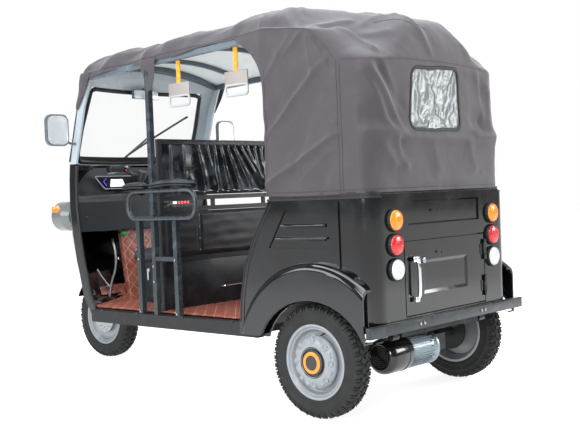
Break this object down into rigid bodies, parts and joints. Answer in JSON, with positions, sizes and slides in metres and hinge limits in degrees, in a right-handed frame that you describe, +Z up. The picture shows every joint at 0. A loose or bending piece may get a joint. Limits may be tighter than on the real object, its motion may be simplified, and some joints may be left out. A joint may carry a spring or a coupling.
{
  "type": "electric three-wheeled auto rickshaw",
  "caption": "Electric auto rickshaw with a steered front wheel, two rear wheels, an open-sided cab under a cloth roof and hood, a passenger bench and a rear hatch.",
  "frame": {"origin": "on the ground under the middle of the whole vehicle", "axes": "+X to the vehicle's left, +Y to its rear, +Z up"},
  "size_m": [1.434, 2.8333, 1.865],
  "materials": {
    "tyre_rubber": "moulded black rubber",
    "wheel_steel": "silver grey wheel enamel",
    "hub_paint": "silver enamel with a dark centre",
    "disc_steel": "turned steel",
    "black_tube": "black powder coat",
    "black_enamel": "glossy black enamel",
    "pale_enamel": "pale grey enamel",
    "dark_plastic": "moulded dark grey plastic",
    "gloss_plastic": "smooth black plastic",
    "clear_glass": "clear glass",
    "clear_vinyl": "clear flexible vinyl",
    "mirror_glass": "silvered glass",
    "cloth": "taupe grey coated canvas",
    "lining": "pale roof lining",
    "quilt": "red brown quilted vinyl",
    "black_vinyl": "black upholstery vinyl",
    "amber": "amber lens",
    "red": "red lens",
    "clear": "clear lens",
    "chrome": "bright chrome",
    "aluminium": "cast aluminium",
    "strap": "amber yellow webbing",
    "white_plastic": "white moulded plastic"
  },
  "bodies": {
    "chassis": {"windscreen_frame": "pale_enamel", "front_cowl": "black_enamel", "windscreen_glass": "clear_glass", "dashboard": "dark_plastic", "instrument_cluster": "gloss_plastic", "headlamp_pods": "black_enamel", "floor_pan": "black_tube", "chassis_frame": "black_tube", "quilted_mats": "quilt", "body_sides": "black_enamel", "wheel_housings": "black_tube", "rear_panel": "black_enamel", "tail_lamp_rings": "gloss_plastic", "amber_lenses": "amber", "red_lenses": "red", "clear_lenses": "clear", "bumper": "black_tube", "motor": "aluminium", "rear_axle": "black_tube", "rear_springs": "black_tube", "roof_lining": "lining", "roof_frame": "black_tube", "hood_posts": "black_tube", "canopy": "cloth", "rear_window": "clear_vinyl", "door_posts": "black_tube", "arm_pads": "black_vinyl", "partition_frame": "black_tube", "partition_panels": "black_vinyl", "right_side_panel": "black_enamel", "driver_seat": "black_vinyl", "driver_seat_box": "black_tube", "bench_cushions": "black_vinyl", "bench_base": "black_tube", "battery_pack": "dark_plastic", "mirror_shells": "gloss_plastic", "mirror_glasses": "mirror_glass", "grip_straps": "strap", "grip_plates": "white_plastic"},
    "steering": {"fork": "black_tube", "handlebar": "dark_plastic", "front_mudguard": "black_enamel"},
    "front_wheel": {"front_tyre": "tyre_rubber", "front_rim": "wheel_steel", "brake_disc": "disc_steel"},
    "rear_wheel_left": {"rear_tyre_left": "tyre_rubber", "rear_rim_left": "wheel_steel", "hub_cap_left": "hub_paint"},
    "rear_wheel_right": {"rear_tyre_right": "tyre_rubber", "rear_rim_right": "wheel_steel", "hub_cap_right": "hub_paint"},
    "hatch": {"hatch_door": "black_enamel", "hatch_handle": "chrome"}
  },
  "joints": [
    {"name": "steer", "type": "hinge", "parent": "chassis", "child": "steering", "pos_m": [0, -1.135, 0.25], "axis": [0, 0.375, 0.927], "range_deg": [-35, 35]},
    {"name": "front_roll", "type": "hinge", "parent": "steering", "child": "front_wheel", "pos_m": [0, -1.165, 0.25], "axis": [1, 0, 0], "continuous": true},
    {"name": "rear_left_roll", "type": "hinge", "parent": "chassis", "child": "rear_wheel_left", "pos_m": [0.545, 1.078, 0.25], "axis": [1, 0, 0], "continuous": true},
    {"name": "rear_right_roll", "type": "hinge", "parent": "chassis", "child": "rear_wheel_right", "pos_m": [-0.545, 1.078, 0.25], "axis": [1, 0, 0], "continuous": true},
    {"name": "hatch_swing", "type": "hinge", "parent": "chassis", "child": "hatch", "pos_m": [-0.321, 1.3963, 0.6], "axis": [0, 0, 1], "range_deg": [0, 100]}
  ]
}
